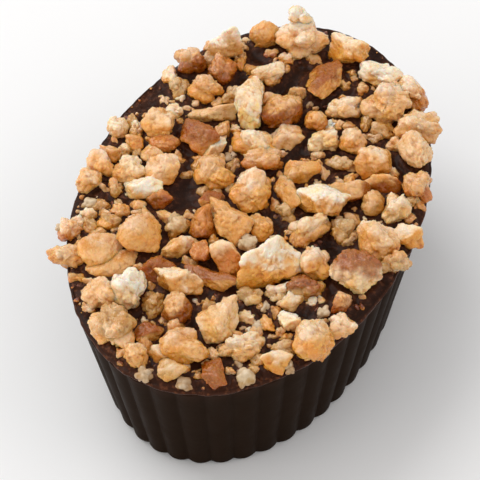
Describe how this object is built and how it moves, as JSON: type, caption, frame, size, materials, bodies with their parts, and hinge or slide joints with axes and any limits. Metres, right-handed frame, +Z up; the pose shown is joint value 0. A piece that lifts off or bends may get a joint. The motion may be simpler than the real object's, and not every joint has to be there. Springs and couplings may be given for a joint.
{
  "type": "filled chocolate",
  "caption": "Oval fluted cup of dark chocolate, closed by a thin chocolate layer thickly set with chopped caramelised nuts.",
  "frame": {"origin": "middle of the flat base, on the surface the chocolate stands on", "axes": "+X along the long axis of the oval, +Y across it, +Z up towards the nuts"},
  "size_m": [0.0382, 0.0276, 0.0168],
  "materials": {
    "shell": "satin dark chocolate, released from a fluted mould",
    "layer": "glossy dark chocolate, poured and uneven",
    "nuts": "chopped nuts with a rough caramelised sugar coat, cream to toasted brown",
    "sugar": "clear to milky grains of sugar"
  },
  "bodies": {
    "root": {"shell": "shell", "topping": "nuts"}
  },
  "joints": []
}
